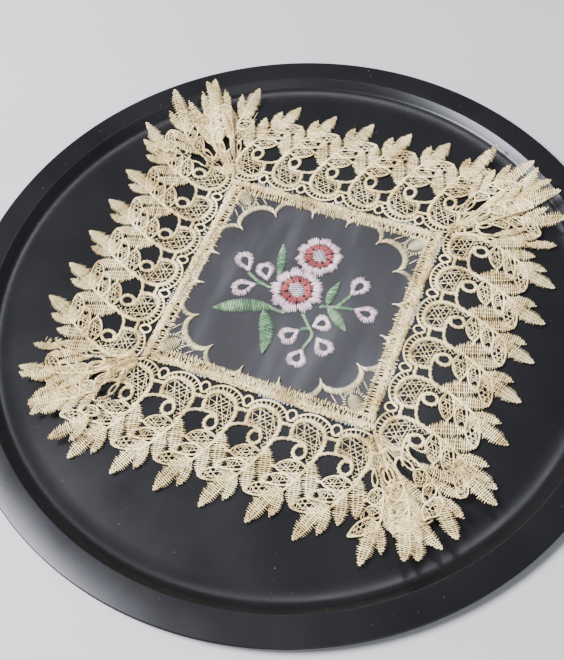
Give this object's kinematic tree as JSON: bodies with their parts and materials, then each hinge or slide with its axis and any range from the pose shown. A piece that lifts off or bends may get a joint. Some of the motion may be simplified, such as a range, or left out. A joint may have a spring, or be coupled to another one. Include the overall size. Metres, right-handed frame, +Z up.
{
  "type": "tray with lace mat",
  "caption": "Shallow round black metal tray with a flat rim, and a loose square lace mat with a sheer embroidered centre lying diagonally in its well.",
  "frame": {"origin": "centre of the tray's underside, on the surface it stands on", "axes": "+Z up; the mat's sides run parallel to X and Y, and the embroidered stems point towards -Y and -X"},
  "size_m": [0.4, 0.4, 0.016],
  "materials": {
    "black_enamel": "satin",
    "organza": "sheer",
    "lace_thread": "satin thread",
    "pink_thread": "satin thread",
    "red_thread": "satin thread",
    "pale_thread": "satin thread",
    "green_thread": "satin thread"
  },
  "bodies": {
    "tray": {"tray_pan": "black_enamel"},
    "mat": {"centre_panel": "organza", "seam_band_right": "lace_thread", "seam_band_back": "lace_thread", "seam_band_left": "lace_thread", "seam_band_front": "lace_thread", "lace_side_right": "lace_thread", "lace_side_back": "lace_thread", "lace_side_left": "lace_thread", "lace_side_front": "lace_thread", "lace_corner_right_back": "lace_thread", "lace_corner_left_back": "lace_thread", "lace_corner_left_front": "lace_thread", "lace_corner_right_front": "lace_thread", "scallop_edging": "lace_thread", "corner_petal_right_back": "lace_thread", "corner_petal_left_back": "lace_thread", "corner_petal_left_front": "lace_thread", "corner_petal_right_front": "lace_thread", "large_flower_petals": "pink_thread", "large_flower_ring": "red_thread", "large_flower_eye": "pale_thread", "small_flower_petals": "pink_thread", "small_flower_ring": "red_thread", "small_flower_eye": "pale_thread", "bud_1": "pink_thread", "bud_2": "pink_thread", "bud_3": "pink_thread", "bud_4": "pink_thread", "bud_5": "pink_thread", "bud_6": "pink_thread", "bud_7": "pink_thread", "bud_8": "pink_thread", "bud_9": "pink_thread", "leaf_1": "green_thread", "leaf_2": "green_thread", "leaf_3": "green_thread", "leaf_4": "green_thread", "leaf_5": "green_thread", "stem_upper": "green_thread", "stem_left": "green_thread", "stem_lower": "green_thread", "stem_leaves": "green_thread"}
  },
  "joints": [
    {"name": "mat_lift", "type": "slide", "parent": "tray", "child": "mat", "axis": [0, 0, 1], "range_m": [0, 0.06]}
  ]
}
